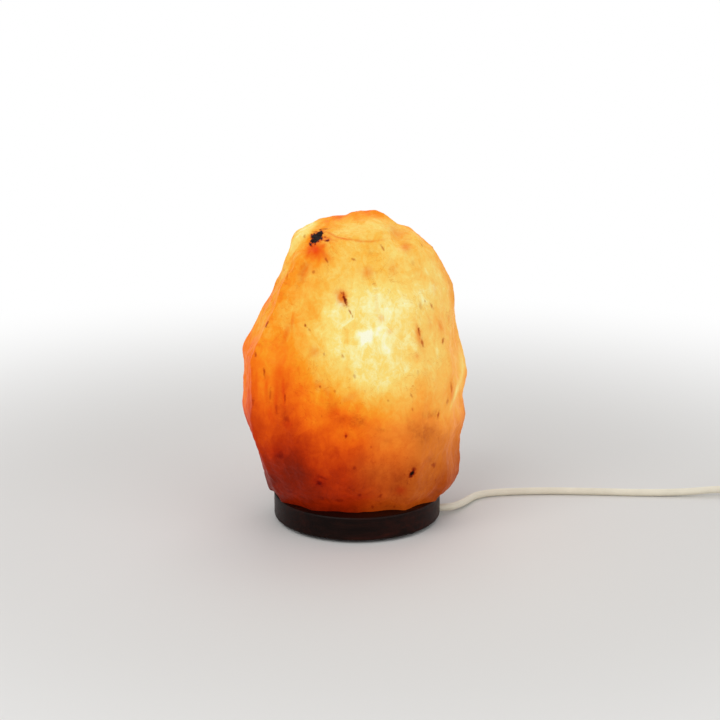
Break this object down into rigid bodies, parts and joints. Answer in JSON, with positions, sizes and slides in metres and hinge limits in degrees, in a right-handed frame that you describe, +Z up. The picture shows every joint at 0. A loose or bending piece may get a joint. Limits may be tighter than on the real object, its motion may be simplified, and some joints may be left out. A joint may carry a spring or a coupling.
{
  "type": "salt crystal lamp",
  "caption": "Table lamp: a hollow rock-salt crystal on a round wooden base, lit by a small bulb in a clip-in holder, with a cord, rocker switch and two-pin plug.",
  "frame": {"origin": "on the table, under the middle of the lamp's box; the round base's axis is the Z axis", "axes": "+Z up; -Y faces the viewer; the cord leaves the base along +X"},
  "size_m": [0.4815, 0.186, 0.2066],
  "materials": {
    "rock_salt": "translucent, rough, lit from inside",
    "stained_wood": "dark stained, satin varnish",
    "zinc_steel": "zinc plated",
    "spring_steel": "rolled spring strip",
    "black_rubber": "matte",
    "black_plastic": "moulded, fine grain",
    "white_ceramic": "unglazed",
    "brass": "stamped",
    "core_insulation": "wire insulation",
    "ivory_cord": "soft sheath",
    "ivory_plastic": "moulded",
    "ivory_relief": "soft moulding",
    "rocker_plastic": "moulded",
    "nickel_pins": "nickel plated",
    "clear_glass": "clear",
    "black_glaze": "black glass insulator",
    "solder": "solder bead",
    "tungsten": "glowing wire"
  },
  "bodies": {
    "cord_set": {"cover_plate": "zinc_steel", "cord_housing": "black_plastic", "housing_screws": "zinc_steel", "cord_clamp": "black_plastic", "clamp_screws": "zinc_steel", "spring_clips": "spring_steel", "clip_rivets": "zinc_steel", "threaded_nipple": "zinc_steel", "nipple_nuts": "zinc_steel", "holder_cap": "black_plastic", "holder_shell": "black_plastic", "insulating_body": "white_ceramic", "terminal_posts": "brass", "terminal_screws": "zinc_steel", "centre_contact": "brass", "screw_sleeve": "brass", "core_wires": "core_insulation", "cord_inner": "ivory_cord", "cord_lead": "ivory_cord", "cord_tail": "ivory_cord", "cord_coil": "ivory_cord", "plug_lead": "ivory_cord", "switch_lower_shell": "ivory_plastic", "switch_upper_shell": "ivory_plastic", "switch_reliefs": "ivory_relief", "switch_screws": "zinc_steel", "switch_contacts": "brass", "switch_spring_strip": "brass", "plug_body": "ivory_plastic", "plug_relief": "ivory_relief", "plug_pins": "nickel_pins", "plug_pin_sleeves": "black_plastic"},
    "lamp_body": {"salt_crystal": "rock_salt", "wood_base": "stained_wood", "base_screws": "zinc_steel", "rubber_feet": "black_rubber"},
    "bulb": {"bulb_glass": "clear_glass", "bulb_cap": "nickel_pins", "bulb_insulator": "black_glaze", "bulb_contact": "solder", "bulb_stem": "clear_glass", "bulb_lead_wires": "zinc_steel", "bulb_filament": "tungsten"},
    "rocker": {"switch_rocker": "rocker_plastic"}
  },
  "joints": [
    {"name": "lamp_lift", "type": "slide", "parent": "cord_set", "child": "lamp_body", "axis": [0, 0, 1], "range_m": [0, 0.14]},
    {"name": "bulb_unscrew", "type": "slide", "parent": "cord_set", "child": "bulb", "axis": [0, 0, 1], "range_m": [0, 0.022]},
    {"name": "rocker_press", "type": "hinge", "parent": "cord_set", "child": "rocker", "pos_m": [0.309, 0.036, 0.0135], "axis": [0, 1, 0], "range_deg": [0, 16]}
  ]
}
